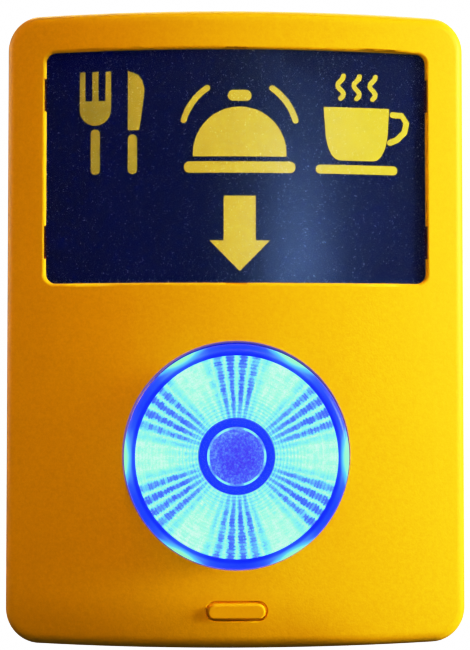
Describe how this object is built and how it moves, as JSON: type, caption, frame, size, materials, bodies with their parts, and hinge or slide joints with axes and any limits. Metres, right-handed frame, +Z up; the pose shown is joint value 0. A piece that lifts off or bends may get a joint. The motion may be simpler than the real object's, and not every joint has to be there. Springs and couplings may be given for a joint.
{
  "type": "wall call button",
  "caption": "Wall-mounted service call button with a bowed housing, a sign window and a large round push lens lit from behind by a ring of LEDs.",
  "frame": {"origin": "centre of the flat back face, on the wall plane", "axes": "+Z up, +X to the right of someone facing the button, -Y out of the wall towards that person"},
  "size_m": [0.114, 0.0368, 0.1554],
  "materials": {
    "housing_yellow": "fine textured ABS",
    "cap_yellow": "fine textured ABS",
    "card_navy": "printed card",
    "window_clear": "clear polycarbonate, fine texture",
    "lens_blue": "clear blue polycarbonate",
    "prism_clear": "prismatic acrylic",
    "carrier_white": "white ABS",
    "spring_steel": "spring wire",
    "switch_black": "moulded nylon",
    "plunger_red": "moulded acetal",
    "board_green": "solder mask",
    "led_clear": "clear epoxy",
    "terminal_green": "moulded nylon",
    "zinc_screw": "zinc plated",
    "resistor_tan": "epoxy coated",
    "capacitor_sleeve": "sleeved can",
    "chip_black": "epoxy",
    "grommet_black": "rubber"
  },
  "bodies": {
    "housing": {"front_cover": "housing_yellow", "rear_base": "housing_yellow", "sign_card": "card_navy", "button_carrier": "carrier_white", "return_spring": "spring_steel", "switch_body": "switch_black", "light_board": "board_green", "leds": "led_clear", "terminal_block": "terminal_green", "terminal_screws": "zinc_screw", "resistors": "resistor_tan", "capacitor": "capacitor_sleeve", "bridge_rectifier": "chip_black", "driver_chip": "chip_black", "board_screws": "zinc_screw", "cover_screw": "zinc_screw", "cable_grommet": "grommet_black"},
    "lens": {"button_lens": "lens_blue", "prism_disc": "prism_clear"},
    "plunger": {"switch_plunger": "plunger_red"},
    "window": {"sign_window": "window_clear"},
    "cap": {"screw_cap": "cap_yellow"}
  },
  "joints": [
    {"name": "button_press", "type": "slide", "parent": "housing", "child": "lens", "axis": [0, 1, 0], "range_m": [0, 0.002], "stiffness_N_per_m": 400, "springref_m": -0.004, "deforming": ["return_spring"]},
    {"name": "plunger_press", "type": "slide", "parent": "housing", "child": "plunger", "axis": [0, 1, 0], "range_m": [0, 0.002]},
    {"name": "window_out", "type": "slide", "parent": "housing", "child": "window", "axis": [0, -1, 0], "range_m": [0, 0.012]},
    {"name": "cap_pull", "type": "slide", "parent": "housing", "child": "cap", "axis": [0, -1, 0], "range_m": [0, 0.008]}
  ],
  "couplings": [
    {"joint": "plunger_press", "follows": "button_press", "ratio": 1}
  ]
}
